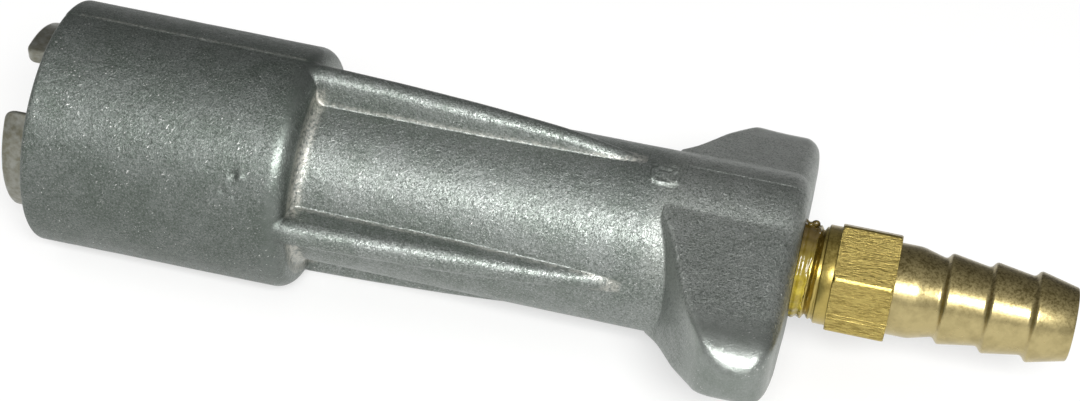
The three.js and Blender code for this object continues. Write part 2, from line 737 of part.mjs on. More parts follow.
// Hose barb: thread, collar, hexagon, shank and three barbs in one turned piece
const barbPoints = [];
for (let i = 0; i < barbCount; i++) {
  const root = barbsStart + barbStep * i;
  barbPoints.push([root, barbRootRadius], [root + barbBackLength, barbCrestRadius]);
}
const turnedBarb = solid(turned([
  [threadStart, barbBoreRadius],
  [threadStart, threadRadius - threadChamfer],
  [threadStart + threadChamfer, threadRadius],
  [collarStart, threadRadius],
  [collarStart, collarRadius],
  [(hexStart + hexEnd) / 2, collarRadius],
  [(hexStart + hexEnd) / 2, shankRadius],
  [shankEnd, shankRadius],
  ...barbPoints,
  [nozzleEnd - barbEndRounding, barbEndRadius],
  [nozzleEnd, barbEndRadius - barbEndRounding],
  [nozzleEnd, barbBoreRadius],
], middleSegments));
const hexSides = 6;
const hexCornerRadius = hexAcrossFlats / 2 / Math.cos(Math.PI / hexSides);
const hexFaceRadius = hexAcrossFlats / 2 + finishBreak; // of the bevelled ends
const hexCorners = Array.from({ length: hexSides }, (_, i) => (
  around(0, hexCornerRadius, hexTurn + (360 / hexSides) * i).slice(1)
));
const hexTurning = turned([
  [hexStart, barbBoreRadius],
  [hexStart, hexFaceRadius],
  [hexStart + hexBevelLength, hexCornerRadius - hexCornerBreak],
  [hexEnd - hexBevelLength, hexCornerRadius - hexCornerBreak],
  [hexEnd, hexFaceRadius],
  [hexEnd, barbBoreRadius],
], middleSegments);
const hexBar = solid(extrudedAlongX(hexCorners, hexStart - overrun, hexEnd + overrun));
piece("hose_barb", toGeometry(turnedBarb.add(hexBar.intersect(solid(hexTurning)))), "brass");

piece("thread_sealant", turned([
  [bodyLength + clearance, threadHoleRadius],
  [bodyLength + clearance, threadHoleRadius + sealantThickness],
  [bodyLength + clearance + sealantLength / 2, threadHoleRadius + sealantThickness],
  [bodyLength + clearance + sealantLength, threadHoleRadius + sealantThickness / 3],
  [bodyLength + clearance + sealantLength, threadHoleRadius],
], smallSegments), "sealant");

// The origin: mid-length along the axis, on the plane that the head touches
nozzle.position.set((clawReach - nozzleEnd) / 2, 0, Math.max(headFrontRadius, headRearRadius));

export default nozzle;
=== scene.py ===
import math

import bpy
import numpy as np
from mathutils import Matrix, Vector, noise


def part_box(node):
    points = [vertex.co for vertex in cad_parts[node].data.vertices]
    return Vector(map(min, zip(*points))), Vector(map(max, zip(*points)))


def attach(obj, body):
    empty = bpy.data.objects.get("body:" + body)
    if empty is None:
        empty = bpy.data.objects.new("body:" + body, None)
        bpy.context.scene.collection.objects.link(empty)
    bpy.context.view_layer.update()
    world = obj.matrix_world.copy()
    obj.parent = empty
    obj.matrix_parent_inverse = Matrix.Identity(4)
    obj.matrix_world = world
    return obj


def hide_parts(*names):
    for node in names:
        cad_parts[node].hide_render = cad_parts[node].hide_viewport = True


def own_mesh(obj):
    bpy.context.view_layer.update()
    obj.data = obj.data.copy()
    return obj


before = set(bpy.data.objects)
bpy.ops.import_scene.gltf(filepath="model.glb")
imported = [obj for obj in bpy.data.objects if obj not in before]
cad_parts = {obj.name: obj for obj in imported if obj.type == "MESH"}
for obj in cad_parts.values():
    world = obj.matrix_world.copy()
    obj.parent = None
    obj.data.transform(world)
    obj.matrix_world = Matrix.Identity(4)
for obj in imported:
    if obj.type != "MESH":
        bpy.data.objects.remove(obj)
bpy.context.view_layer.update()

scene = bpy.context.scene

# Camera. It stands before the near wing, a third of the way up to overhead and nearer the hose end,
# and is rolled so that the nozzle, which lies along X with its mouth to -X, slopes down to the right.

# Sizes are in millimetres: x is counted from the mouth's rim towards the hose, radii from the axis, and
# angles in degrees from -Y towards +Z.
millimetre = 0.001
casting_low, casting_high = (Vector(corner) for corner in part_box("body_casting"))
rim_x = casting_low.x
axis_z = (casting_low.z + casting_high.z) / 2


def spot(x, y, z):
    """A place in the frame, in metres, from millimetres off the rim and the axis."""
    return Vector((rim_x + x * millimetre, y * millimetre, axis_z + z * millimetre))


azimuth, elevation, roll = (math.radians(a) for a in (8.9, 34.32, 6.44))
camera_place = spot(183.57, -442.53, 310.01)
camera_lens, camera_sensor = 79.3, 36.0

back = Vector((math.sin(azimuth) * math.cos(elevation), -math.cos(azimuth) * math.cos(elevation),
               math.sin(elevation)))
level = Vector((math.cos(azimuth), math.sin(azimuth), 0))
right = Matrix.Rotation(roll, 3, back.normalized()) @ level
camera_data = bpy.data.cameras.new("camera")
camera_data.lens = camera_lens
camera_data.sensor_width, camera_data.sensor_fit = camera_sensor, "HORIZONTAL"
camera_data.clip_start, camera_data.clip_end = 0.01, 50
camera = bpy.data.objects.new("camera", camera_data)
camera_axes = Matrix((right, back.cross(right), back)).transposed()
camera.matrix_world = Matrix.Translation(camera_place) @ camera_axes.to_4x4()
scene.collection.objects.link(camera)
scene.camera = camera
scene.view_settings.view_transform = "Standard"

# Bench top and light. A pale matt sheet that looks nearly white and keeps the nozzle's shadow, one wide
# soft lamp behind the camera that draws the long highlight on the neck, and a plain room that is darker
# beyond the nozzle, where no window is.
floor_half_width = 2.0
floor_colour = (0.42, 0.42, 0.415)
floor_lift = 0.56  # what the camera, metal and glass see on top of the sheet's own colour
room_side, room_overhead = 0.56, 0.65
room_behind = 0.41  # share of that beyond the nozzle
key_place, key_width, key_height, key_power = spot(370, -1043, 858), 0.7, 0.3, 22.8


def feed(socket, value):
    """Links a node's input to another node's output, or sets it to a value."""
    if isinstance(value, bpy.types.NodeSocket):
        socket.id_data.links.new(value, socket)
    elif socket.type == "RGBA":
        socket.default_value = (*value, 1)
    else:
        socket.default_value = value


def add_node(tree, kind, *inputs, **settings):
    """A new shader node, whose first inputs are fed in turn."""
    node = tree.nodes.new("ShaderNode" + kind)
    for key, value in settings.items():
        setattr(node, key, value)
    for socket, value in zip(node.inputs, inputs):
        feed(socket, value)
    return node


floor_mesh = bpy.data.meshes.new("bench_top")
w = floor_half_width
floor_mesh.from_pydata([(-w, -w, 0), (w, -w, 0), (w, w, 0), (-w, w, 0)], [], [(0, 1, 2, 3)])
floor = bpy.data.objects.new("bench_top", floor_mesh)
scene.collection.objects.link(floor)
floor_material = bpy.data.materials.new("matt_sheet")
floor_material.use_nodes = True
floor_mesh.materials.append(floor_material)
sheet = floor_material.node_tree
seen = add_node(sheet, "LightPath").outputs
lift = seen["Is Camera Ray"]
for ray in ("Is Glossy Ray", "Is Transmission Ray"):
    lift = add_node(sheet, "Math", lift, seen[ray], operation="MAXIMUM").outputs[0]
lift = add_node(sheet, "Math", lift, floor_lift, operation="MULTIPLY").outputs[0]
for socket, value in (("Base Color", floor_colour), ("Roughness", 0.9), ("Specular IOR Level", 0.1),
                      ("Emission Color", (1.0, 1.0, 1.0)), ("Emission Strength", lift)):
    feed(sheet.nodes["Principled BSDF"].inputs[socket], value)

scene.world = bpy.data.worlds.new("room")
scene.world.use_nodes = True
room = scene.world.node_tree
sky_direction = add_node(room, "TexCoord").outputs["Generated"]
towards = add_node(room, "SeparateXYZ", sky_direction).outputs
upward = add_node(room, "MapRange", towards["Z"], 0.1, 0.9, room_side, room_overhead)
beyond = add_node(room, "MapRange", towards["Y"], -0.1, 0.6, 1, room_behind)
glow = add_node(room, "Math", upward.outputs[0], beyond.outputs[0], operation="MULTIPLY")
feed(room.nodes["Background"].inputs["Strength"], glow.outputs[0])
feed(room.nodes["Background"].inputs["Color"], (1.0, 1.0, 1.0))

lamp_data = bpy.data.lights.new("key_lamp", "AREA")
lamp_data.shape, lamp_data.size, lamp_data.size_y = "RECTANGLE", key_width, key_height
lamp_data.energy = key_power
lamp = bpy.data.objects.new("key_lamp", lamp_data)
lamp.location = key_place
lamp.rotation_euler = (spot(140, 0, 0) - key_place).to_track_quat("-Z", "Y").to_euler()
scene.collection.objects.link(lamp)


# Body casting. One die casting in aluminium: the skirted head, the neck with its four stiffening
# fins, and the two wings that turn the nozzle on the filling adaptor. It is tumbled, not painted, so
# it is grey and covered in tiny nicks. The brass fitting is screwed into its rear face.
class Finish:
    """A shader whose colour, roughness and relief come from the piece's own coordinates."""

    def __init__(self, name, **sockets):
        self.material = bpy.data.materials.new(name)
        self.material.use_nodes = True
        self.tree = self.material.node_tree
        self.shader = self.tree.nodes["Principled BSDF"]
        self.height = self.bump = None
        for socket, value in sockets.items():
            feed(self.shader.inputs[socket], value)
        self.place = self.add("TexCoord").outputs["Object"]

    def add(self, kind, *inputs, **settings):
        return add_node(self.tree, kind, *inputs, **settings)

    def math(self, operation, a, b=0.5):
        return self.add("Math", a, b, operation=operation).outputs[0]

    def sum(self, a, b):
        return self.math("ADD", a, b)

    def product(self, value, *factors):
        for factor in factors:
            value = self.math("MULTIPLY", value, factor)
        return value

    def between(self, value, low, high, out_low=0.0, out_high=1.0):
        """The value's share of the way from low to high, or that share of the way between two others."""
        return self.add("MapRange", value, low, high, out_low, out_high, clamp=True).outputs[0]

    def mix(self, share, a, b):
        node = self.add("Mix", share, data_type="RGBA")
        for socket, value in zip(node.inputs[6:8], (a, b)):
            feed(socket, value)
        return node.outputs[2]

    def axes(self):
        """The piece's own coordinates one by one, as the outputs X, Y and Z."""
        return self.add("SeparateXYZ", self.place).outputs

    def drawn_along(self, direction, length):
        """The piece's coordinates, in which grain comes out that many times longer in one direction."""
        direction = tuple(Vector(direction).normalized())
        along = self.add("VectorMath", self.place, direction, operation="DOT_PRODUCT")
        part = self.add("VectorMath", direction, operation="SCALE")
        feed(part.inputs["Scale"], self.product(along.outputs["Value"], 1 - 1 / length))
        return self.add("VectorMath", self.place, part.outputs[0], operation="SUBTRACT").outputs[0]

    def round_the_axis(self, stretch):
        """Coordinates that change along the axis and with the radius, and hardly round it."""
        axes = self.axes()
        level = self.sum(axes["Z"], -axis_z)
        radius = self.math("SQRT", self.sum(self.product(axes["Y"], axes["Y"]), self.product(level, level)))
        turn = self.product(self.math("ARCTAN2", level, axes["Y"]), stretch * millimetre)
        return self.add("CombineXYZ", axes["X"], radius, turn).outputs[0]

    def grain(self, size, detail=2.0, where=None, contrast=0.5):
        """Noise whose lumps are about size millimetres across, from 0 to 1."""
        node = self.add("TexNoise")
        for socket, value in (("Vector", where or self.place), ("Scale", 1 / (size * millimetre)),
                              ("Detail", detail), ("Roughness", contrast)):
            feed(node.inputs[socket], value)
        return node.outputs["Fac"]

    def cells(self, size):
        """How far a place is from the middle of the nearest of many cells."""
        node = self.add("TexVoronoi", self.place)
        feed(node.inputs["Scale"], 1 / (size * millimetre))
        return node.outputs["Distance"]

    def attribute(self, name):
        return self.add("Attribute", attribute_name=name).outputs["Fac"]

    def colour(self, value):
        feed(self.shader.inputs["Base Color"], value)

    def roughness(self, value):
        feed(self.shader.inputs["Roughness"], value)

    def relief(self, value, depth):
        """Adds bumps of the given depth in millimetres to those already there."""
        if self.height is None:
            self.bump = self.add("Bump")
            feed(self.bump.inputs["Distance"], millimetre)
            feed(self.shader.inputs["Normal"], self.bump.outputs[0])
        value = self.product(value, depth)
        self.height = value if self.height is None else self.sum(self.height, value)
        feed(self.bump.inputs["Height"], self.height)


def tumbled_aluminium():
    skin = Finish("tumbled_aluminium", Metallic=1.0)
    pale, dark, chalky = (0.245, 0.266, 0.25), (0.18, 0.204, 0.183), (0.55, 0.54, 0.49)
    frost_and_light_tone, glint, scratch = (0.55, 0.565, 0.53), (0.42, 0.435, 0.42), (0.72, 0.72, 0.7)
    pit, bruise = (0.075, 0.09, 0.078), (0.026, 0.037, 0.028)
    patches = skin.between(skin.grain(8, 4, contrast=0.6), 0.38, 0.62)
    mottled = skin.mix(patches, dark, pale)
    # the paler tone on the wings and hub is partly frost and partly painted light, weaker on their underside
    mottled = skin.mix(skin.product(skin.attribute("frost_and_painted_light"), 0.26), mottled, frost_and_light_tone)
    glints = skin.between(skin.grain(0.42, 2, contrast=0.75), 0.5, 0.62)
    pits = skin.between(skin.grain(0.5, 2, contrast=0.75), 0.5, 0.62)
    knocked, polished = skin.attribute("knocked"), skin.attribute("polished")
    smoother = skin.between(polished, 0, 1, 1, 0.3)
    mottled = skin.mix(skin.product(glints, 0.6, smoother), mottled, glint)
    mottled = skin.mix(skin.product(pits, 0.58, smoother), mottled, pit)
    mottled = skin.mix(skin.product(knocked, 0.4), mottled, bruise)
    scratched = skin.between(skin.grain(0.36, 1, skin.drawn_along((0.5, 0.3, 0.6), 3)), 0.69, 0.74)
    scratched = skin.product(scratched, skin.between(skin.grain(5.0, 2), 0.42, 0.62))
    mottled = skin.mix(skin.product(scratched, 0.7), mottled, scratch)
    recess = skin.product(skin.attribute("recess"), skin.between(skin.grain(0.8, 3), 0.38, 0.6, 0.12, 1))
    skin.colour(skin.mix(recess, mottled, chalky))
    rough = skin.between(skin.grain(2.2, 3), 0.3, 0.7, 0.38, 0.47)
    for mark, more in ((knocked, 0.04), (recess, 0.1), (polished, -0.1)):
        rough = skin.sum(rough, skin.product(mark, more))
    skin.roughness(rough)
    skin.relief(skin.product(skin.grain(3.0, 2), smoother), 0.03)
    skin.relief(skin.product(skin.grain(0.36, 3, contrast=0.7), smoother), 0.02)
    nick = skin.cells(1.3)
    chosen = skin.between(skin.grain(2.5, 1), 0.5, 0.62)
    skin.relief(skin.product(skin.between(nick, 0.08, 0.22), chosen, smoother), 0.045)
    strokes = (  # direction and length of the tumbling marks
        ((0.42, 0.64, 0.64), 5), ((-0.25, 0.68, 0.68), 5), ((0.2, -0.1, 0.97), 5), ((0.9, 0.3, 0.3), 5),
        ((0.35, 0.9, 0.2), 5), ((0.1, 0.4, 0.9), 6),
    )
    for direction, length in strokes:
        stroke = skin.grain(0.22, 1, skin.drawn_along(direction, length))
        skin.relief(skin.product(skin.between(stroke, 0.6, 0.74), smoother), 0.035)
    return skin.material


def rim_distance(metres):
    """Millimetres behind the rim of a place along X in the frame."""
    return (metres - rim_x) / millimetre


def ramp(value):
    """The value, kept between 0 and 1."""
    return np.clip(value, 0, 1)


def bell(distance):
    """1 at no distance and nearly 0 from a distance of 2 on, either way."""
    return np.exp(-distance ** 2)


def joined(a, b, width):
    """The larger of two radii, with a concave fillet about width millimetres wide between them."""
    share = ramp(0.5 + 0.5 * (a - b) / width)
    return b + (a - b) * share + width * share * (1 - share)


def trimmed(a, b, width):
    """The smaller of two radii, with a rounded edge where they meet."""
    return -joined(-a, -b, width)


def through(points, at):
    """A smooth curve through [place, value] points, read at the given places."""
    xs, ys = (np.array(column, float) for column in zip(*points))
    slopes = np.gradient(ys, xs)
    flat = np.diff(ys) == 0
    slopes[:-1][flat] = 0
    slopes[1:][flat] = 0
    at = np.clip(at, xs[0], xs[-1])
    i = np.clip(np.searchsorted(xs, at) - 1, 0, len(xs) - 2)
    step = xs[i + 1] - xs[i]
    t = (at - xs[i]) / step
    rise = ys[i] * (1 + 2 * t) * (1 - t) ** 2 + ys[i + 1] * t * t * (3 - 2 * t)
    return rise + step * (slopes[i] * t * (1 - t) ** 2 - slopes[i + 1] * t * t * (1 - t))


def arc(cx, cr, radius, start, end, steps):
    """Points of an arc in the plane of axis and radius."""
    turns = np.radians(np.linspace(start, end, steps + 1))
    return [(cx + radius * math.cos(a), cr + radius * math.sin(a)) for a in turns]


def straight(start, end, spacing):
    """Points along a line, about spacing apart, without its first."""
    count = max(1, round(math.dist(start, end) / spacing))
    return [tuple(a + (b - a) * k / count for a, b in zip(start, end)) for k in range(1, count + 1)]


def stations(*spans):
    """Places along the axis, from spans of start, end and spacing."""
    return np.concatenate([np.arange(*span) for span in spans])


def angles_with(step_at):
    """Angles right round, in degrees, as far apart at each place as step_at says."""
    angles = [0.0]
    while angles[-1] < 360:
        angles.append(angles[-1] + step_at(angles[-1]))
    return np.array(angles[:-1]) * 360 / angles[-1]


def off(angle, centre):
    """Degrees between two angles, up to 180."""
    return np.abs((angle - centre + 180) % 360 - 180)


def ends(node):
    """Millimetres behind the rim of a CAD node's front and rear ends."""
    return [rim_distance(Vector(corner).x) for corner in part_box(node)]


def new_piece(name, points, faces, material, body, replaced=(), slot=None, crease=30):
    """A mesh piece from points in metres, smooth but for edges sharper than the crease angle."""
    mesh = bpy.data.meshes.new(name)
    mesh.from_pydata(np.asarray(points).reshape(-1, 3).tolist(), [], faces)
    mesh.update()
    mesh.shade_smooth()
    mesh.set_sharp_from_angle(angle=math.radians(crease))
    mesh.materials.append(material)
    piece = bpy.data.objects.new(name, mesh)
    scene.collection.objects.link(piece)
    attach(piece, body)
    if replaced:
        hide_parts(*replaced)
    return piece


def skin_faces(rows, columns):
    """Faces between closed rows of points, which meet first to last."""
    faces = []
    for i in range(rows):
        a, b = i * columns, (i + 1) % rows * columns
        for k in range(columns):
            n = (k + 1) % columns
            faces.append((a + k, b + k, b + n, a + n))
    return faces


def round_skin(rows, angles):
    """Points and faces of a closed skin from its [x, radius] rows, which go round the axis."""
    x, radius = (np.array([value + 0 * angles for value in column]) for column in zip(*rows))
    turn = np.radians(angles)
    points = np.stack([rim_x + x * millimetre, -radius * np.cos(turn) * millimetre,
                       axis_z + radius * np.sin(turn) * millimetre], axis=-1)
    return points, skin_faces(*radius.shape)


head_front_radius = (casting_high.z - casting_low.z) / 2 / millimetre
head_draft = 0.3  # how much slimmer the head is at its rear
head_rear_radius = head_front_radius - head_draft
head_length = 61.4
rim_rounding, shoulder_rounding = 1.2, 4.2
neck_radius, neck_fillet = 20.65, 2.2
hub_radius = 21.05  # the die's draft widens the neck towards the wings
casting_length = rim_distance(casting_high.x)
hub_rounding = 4.5
mouth_radius, mouth_depth, mouth_chamfer = 24.6, 50.0, 0.9
neck_bore, neck_bore_end, thread_hole = 16.6, 158.0, 10.97
claw_groove, strainer_groove, groove_depth = (13.85, 12.15), (151.75, 150.05), 1.2
key_rib_inset, key_rib_half, key_rib_angles = 1.9, 2.5, (53.5, 173.5, 293.5)
key_rib_start, key_rib_end = 14.0, 45.4

fin_angles = (0, 90, 180, 270)
fin_half_width, fin_draft, fin_length = 3.1, 0.05, 76.0
fin_crest_inset = 0.15
fin_crest_shares = (  # share of the fin's length, and of its height at the head
    (0, 1), (0.28, 0.88), (0.5, 0.735), (0.64, 0.615), (0.75, 0.5), (0.86, 0.31), (0.95, 0.12), (1, 0),
)

wing_depth, wing_edge, wing_fillet = 30.7, 3.6, 1.0
wing_fall, wing_corner_fall = 1.35, 1.2  # how much less the far wing reaches at its rear
wing_reach = casting_high.y / millimetre + 0.05
wing_tip_above, wing_tip_below = 9.6, 6.0  # radii of the tip on the two sides of the parting
wing_facet_edge = 57.0  # degrees round the hub, where a flat facet leaves it for the tip
wing_front_shares = (  # share of the wing's depth from its front, and of its reach
    (0, 0.29), (0.104, 0.412), (0.195, 0.556), (0.27, 0.679), (0.352, 0.782), (0.423, 0.864),
    (0.492, 0.943), (0.57, 0.992), (0.66, 1.031), (0.746, 1.055), (0.82, 1.027), (0.893, 0.981),
    (0.951, 0.925), (0.975, 0.87), (0.988, 0.80), (1, 0.70),
)


def fin_radius(x, angle):
    """How far the four fins reach at these places."""
    along = (x - head_length) / fin_length
    crest_at_head = head_rear_radius - fin_crest_inset
    crest = neck_radius + (crest_at_head - neck_radius) * through(fin_crest_shares, along)
    crest = np.where(along > 1, 0, crest)
    half = fin_half_width * (1 - 0.4 * ramp((along - 0.5) / 0.5))
    middle = np.maximum(crest - half, 0.1)  # of the crest's full round
    reach = np.zeros(np.broadcast(x, angle).shape)
    for centre in fin_angles:
        away = np.radians(np.minimum(off(angle, centre), 89))
        inside = np.maximum(half ** 2 - (middle * np.sin(away)) ** 2, 0)
        top = middle * np.cos(away) + np.sqrt(inside)
        wall = (half + fin_draft * middle) / (np.sin(away) + fin_draft)
        reach = np.maximum(reach, np.where(away < np.arctan2(half, middle), top, wall))
    return reach


def wing_section(tip, away, inset):
    """The section's radius: a flat facet that runs from the hub onto a tip of the given radius."""
    centre = wing_reach - tip
    edge = math.radians(wing_facet_edge)
    across, up = hub_radius * math.cos(edge) - centre, hub_radius * math.sin(edge)
    tilt = math.asin(tip / math.hypot(across, up)) + math.atan2(-across, up)
    facet = (centre * math.cos(tilt) + tip - inset) / np.cos(np.minimum(away, tilt) - tilt)
    inside = np.maximum((tip - inset) ** 2 - (centre * np.sin(away)) ** 2, 0)
    circle = centre * np.cos(away) + np.sqrt(inside)
    touch = np.arctan2((tip - inset) * math.sin(tilt), centre + (tip - inset) * math.cos(tilt))
    return np.where(away < touch, circle, facet)


def wing_radius(x, angle, inset):
    """How far the wings reach: facets from hub to round tip, cut to the plan's outline."""
    away = np.radians(np.minimum(off(angle, 0), off(angle, 180)))
    above, below = (wing_section(tip, away, inset) for tip in (wing_tip_above, wing_tip_below))
    section = np.where(angle % 360 < 180, above, below)
    along = (x - casting_length + wing_depth) / wing_depth
    plan = wing_reach * through(wing_front_shares, along) / np.maximum(np.cos(away), 0.05)
    rearward = ramp((along - 0.15) / 0.6)
    fall = wing_fall * rearward ** 2 * (3 - 2 * rearward)
    fall = fall + wing_corner_fall * ramp((along - 0.86) / 0.14) ** 2
    section = section - fall * (off(angle, 180) < 80)
    reach = trimmed(section, plan, wing_edge)
    return np.where(along < 0, 0, reach)


def grid_step(angle):
    """Degrees to the skin's next column: finest over the fins and the head's deeper knocks."""
    nearest = min(off(angle, centre) for centre in fin_angles)
    if nearest < 11:
        return 0.5
    if 11 < angle < 32:
        return 0.6
    if min(off(angle, 0), off(angle, 180)) < 60:
        return 0.75
    return 0.9 if nearest < 17 else 1.4


angles = angles_with(grid_step)
shoulder_start, hub_start = head_length - shoulder_rounding, casting_length - hub_rounding
wing_start = casting_length - wing_depth
gate_x, gate_angle, gate_half_length, gate_half_width, gate_height = 142.2, 80.0, 3.6, 3.4, 0.5
head_x = stations((rim_rounding + 0.9, 45, 0.9), (45, 53, 0.3), (53, shoulder_start, 0.9))
neck_x = stations((head_length + neck_fillet + 0.8, gate_x - 6, 0.8), (gate_x - 6, wing_start + 16, 0.2),
                  (wing_start + 16, hub_start, 0.4))
outer = [
    *arc(rim_rounding, head_front_radius - rim_rounding, rim_rounding, 180, 90, 8),
    *zip(head_x, np.interp(head_x, (rim_rounding, shoulder_start), (head_front_radius, head_rear_radius))),
    *arc(shoulder_start, head_rear_radius - shoulder_rounding, shoulder_rounding, 90, 0, 14),
    *arc(head_length + neck_fillet, neck_radius + neck_fillet, neck_fillet, 180, 270, 8),
    *zip(neck_x, np.interp(neck_x, (head_length + neck_fillet, hub_start), (neck_radius, hub_radius))),
    *arc(hub_start, hub_radius - hub_rounding, hub_rounding, 90, 0, 12),
]
row_x, row_radius = (np.array(column)[:, None] for column in zip(*outer))
skin = np.repeat(row_radius, len(angles), axis=1)
fin_fillet = 0.05 + 1.7 * ramp((row_x - shoulder_start) / shoulder_rounding)
fin_fillet = fin_fillet * np.clip((head_length + fin_length - row_x) / 12, 0.03, 1)
fins = np.where(row_x < shoulder_start, 0, fin_radius(row_x, angles))
hollow = bell((skin - fins) / 0.6) * (row_x > head_length - 0.2)
skin = joined(skin, fins, fin_fillet)
inset = hub_rounding - np.sqrt(hub_rounding ** 2 - np.maximum(row_x - hub_start, 0) ** 2)
beside_hub = ramp((np.minimum(off(angles, 0), off(angles, 180)) - wing_facet_edge + 8) / 8)
wings = wing_radius(row_x, angles, inset)
skin = joined(skin, wings, wing_fillet - 0.7 * beside_hub)

# tumbling doesn't reach the narrow corners, which stay pale, and it knocks the head most
foot = ramp((24.6 - skin) / 0.8) * ramp((head_length + 2.4 - row_x) / 0.7)
foot = foot * (row_x > head_length - 0.2)
seam_angle, seam_half_width = 93.2, 0.7
seam = bell((angles - seam_angle) / seam_half_width) * (row_x > 3) * (row_x < head_length - 4)
recess = ramp(0.75 * hollow + 0.85 * foot + 0.4 * seam)
knocked = ramp((skin - 24) / 3) * ramp((head_length + 3 - row_x) / 3)

# hands and knocks polish the wings' tips and the shoulder's edge; the wings and hub get a paler frosted
# colour that is partly frost and partly painted light, strongest on their upper side
polished = ramp((skin - 36) / 6) * (row_x > wing_start)
edge = bell((row_x - head_length + 2.6) / 1.8) * (skin > 25)
polished = np.maximum(polished, edge)
# painted light: the paler tone is given mostly to the upper side, and only a quarter of it underneath
upper_side = ramp((angles - 4) / 10) * (angles < 176)
frost_and_painted_light = ramp((row_x - wing_start + 4) / 4) * (0.25 + 0.75 * upper_side)

# the die's halves meet over the top and underneath: the far half stands a little proud
parting_angle, parting_step = 92.5, 0.17
near_half = ramp(0.5 + (parting_angle - angles) / 0.8) * (angles < 270)
near_half = np.maximum(near_half, ramp(0.5 + (angles - 270) / 0.8))
stepped = ramp((head_length - row_x) / 3) + ramp((row_x - wing_start - 2) / 3)
skin = skin - parting_step * near_half * stepped

# the die's uneven surface, the knocks that tumbling leaves, and the broken-off gate behind the fin
unevenness = ((14, 0.05), (6, 0.025))  # lump size and depth
gate_grain, gate_roughness = 0.9, 0.22
knocks = (  # x, angle, half width, depth
    (49.5, 25.5, 1.0, 0.7), (51.0, 24.6, 0.75, -0.55), (47.3, 17.6, 0.7, 0.36), (50.1, 15.8, 0.6, 0.3),
    (30.5, 78.0, 0.7, 0.08), (97.5, 80.8, 0.5, 0.2), (86.0, 55.0, 0.8, 0.05), (43.5, 26.0, 0.6, 0.12),
    (41.0, 21.0, 0.7, 0.1), (91.0, 41.0, 0.5, 0.12),
)
for x, angle, half, depth in knocks:
    across = np.radians((angles - angle + 180) % 360 - 180) * skin
    skin = skin - depth * np.exp(-((row_x - x) ** 2 + across ** 2) / half ** 2)
across = np.abs(np.radians(angles - gate_angle) * skin) / gate_half_width
along = np.abs(row_x - gate_x) / gate_half_length
gate = ramp((1 - (across ** 4 + along ** 4) ** 0.25) * 9)
turn = np.radians(angles)
places = np.stack(np.broadcast_arrays(row_x, -skin * np.cos(turn), skin * np.sin(turn)), axis=-1)


def noise_over(places, size):
    """Noise with lumps of a size, at each of a grid of places."""
    values = [noise.noise(Vector(p) / size) for p in places.reshape(-1, 3)]
    return np.array(values).reshape(places.shape[:-1])


lumps = np.zeros(skin.shape)
for size, depth in unevenness:
    lumps += depth * noise_over(places, size)
gate = gate * (gate_height + gate_roughness * noise_over(places, gate_grain))
skin = skin + lumps - unevenness[0][1] + gate


# the rear face, and the bore from the thread's hole to the mouth
def groove(start, end, radius, floor):
    """A groove's outline, from a radius to its floor and back."""
    return [(start, radius), (start, floor), (end, floor), (end, radius)]


outline = skin[-1]
hole_edge = thread_hole + 0.5
rear = [outline + (hole_edge - outline) * share for share in (0.25, 0.5, 0.75, 1)]
inner = [(casting_length - 0.5, thread_hole), (neck_bore_end, thread_hole), (neck_bore_end, neck_bore)]
inner += groove(*strainer_groove, neck_bore, neck_bore + groove_depth)
inner += straight((strainer_groove[1], neck_bore), (mouth_depth, neck_bore), 20)
inner += straight((mouth_depth, neck_bore), (mouth_depth, mouth_radius), 4)
inner += straight((mouth_depth, mouth_radius), (key_rib_end + 0.02, mouth_radius), 10)
inner += [(key_rib_end, mouth_radius)]
inner += straight((key_rib_end, mouth_radius), (key_rib_start, mouth_radius), 8)
inner += [(key_rib_start - 0.02, mouth_radius)]
inner += groove(*claw_groove, mouth_radius, mouth_radius + groove_depth)
inner += [(mouth_chamfer, mouth_radius), (0, mouth_radius + mouth_chamfer)]
inner_x, inner_radius = (np.array(column)[:, None] for column in zip(*inner))
bore = np.repeat(inner_radius, len(angles), axis=1)
ribbed = (inner_x >= key_rib_start) & (inner_x <= key_rib_end) & (inner_radius == mouth_radius)
for centre in key_rib_angles:
    bore = bore - key_rib_inset * (ribbed & (off(angles, centre) < math.degrees(key_rib_half / mouth_radius)))
rows = [*zip(row_x[:, 0], skin), *((casting_length, row) for row in rear), *zip(inner_x[:, 0], bore)]
casting = new_piece("casting", *round_skin(rows, angles), tumbled_aluminium(), "body", ["body_casting"],
                    "cast_aluminium", crease=50)
unseen = np.zeros((len(rows) - len(skin), len(angles)))
for name, marks in (("recess", recess), ("knocked", knocked), ("polished", polished), ("frost_and_painted_light", frost_and_painted_light)):
    layer = casting.data.attributes.new(name, "FLOAT", "POINT")
    layer.data.foreach_set("value", np.concatenate([np.broadcast_to(marks, skin.shape), unseen]).ravel())


# Brass hose fitting. Turned from hexagon bar: a pipe thread that is screwed into the casting, a plain
# collar, the drawn hexagon for the wrench, a shank and three barbs that grip the hose, with a bore
# right through.
def eased(outline, sizes, steps=3):
    """The outline of [x, radius] points with its corners rounded by a size or by one size for each."""
    smooth = []
    if not isinstance(sizes, list):
        sizes = [sizes] * len(outline)
    for i, (corner, size) in enumerate(zip(outline, sizes)):
        corner = np.array(corner, float)
        before, after = (np.array(outline[k % len(outline)], float) - corner for k in (i - 1, i + 1))
        reach = [min(size, 0.42 * np.linalg.norm(side)) for side in (before, after)]
        start = corner + before / max(np.linalg.norm(before), 1e-9) * reach[0]
        end = corner + after / max(np.linalg.norm(after), 1e-9) * reach[1]
        for k in range(steps + 1):
            t = k / steps
            smooth.append(tuple(start * (1 - t) ** 2 + corner * 2 * t * (1 - t) + end * t * t))
    return smooth


